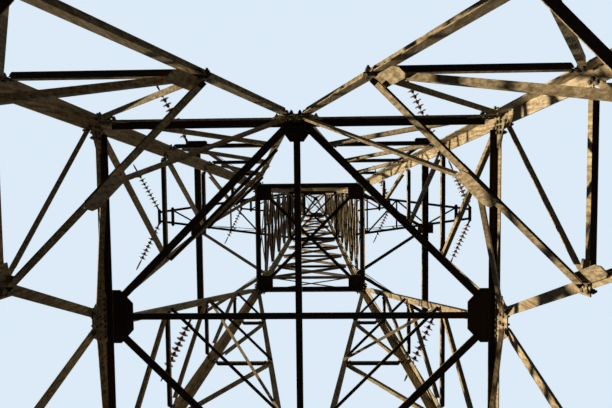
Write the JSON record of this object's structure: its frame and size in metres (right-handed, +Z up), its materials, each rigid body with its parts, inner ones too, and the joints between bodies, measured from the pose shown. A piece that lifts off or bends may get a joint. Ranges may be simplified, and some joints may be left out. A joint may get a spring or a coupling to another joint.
{
  "type": "lattice transmission pylon",
  "caption": "Self-supporting square lattice tower for two overhead circuits at a bend in the line, with crossarms at three levels and tension insulator strings.",
  "frame": {"origin": "on the ground, on the tower's axis, level with the undersides of the foot plates", "axes": "+Z up, crossarms along X, the line comes in over the -Y side and leaves over the +Y side, turning towards -X"},
  "size_m": [11.8842, 7.8926, 32.85],
  "materials": {
    "foot_steel": "weathered steel, dull, with rust",
    "leg_steel": "weathered steel, dull brown",
    "brace_steel": "weathered steel, dull dark brown",
    "insulators": "dark brown glaze"
  },
  "bodies": {
    "root": {"arm_low_left": "brace_steel", "arm_low_right": "brace_steel", "arm_middle_left": "brace_steel", "arm_middle_right": "brace_steel", "arm_top_left": "brace_steel", "arm_top_right": "brace_steel", "base_brace_back": "brace_steel", "base_brace_front": "brace_steel", "base_brace_left": "brace_steel", "base_brace_right": "brace_steel", "cage_brace_back": "brace_steel", "cage_brace_front": "brace_steel", "cage_brace_left": "brace_steel", "cage_brace_right": "brace_steel", "cage_diaphragm": "brace_steel", "corner_brace": "brace_steel", "foot_back_left": "foot_steel", "foot_back_right": "foot_steel", "foot_front_left": "foot_steel", "foot_front_right": "foot_steel", "lower_leg_back_left": "leg_steel", "lower_leg_back_right": "leg_steel", "lower_leg_front_left": "leg_steel", "lower_leg_front_right": "leg_steel", "peak": "brace_steel", "shoulder_diaphragm": "brace_steel", "strings_low_left": "insulators", "strings_low_right": "insulators", "strings_middle_left": "insulators", "strings_middle_right": "insulators", "strings_top_left": "insulators", "strings_top_right": "insulators", "strut_diaphragm": "brace_steel", "upper_leg_back_left": "leg_steel", "upper_leg_back_right": "leg_steel", "upper_leg_front_left": "leg_steel", "upper_leg_front_right": "leg_steel", "waist_brace_back": "brace_steel", "waist_brace_front": "brace_steel", "waist_brace_left": "brace_steel", "waist_brace_right": "brace_steel"}
  },
  "joints": []
}
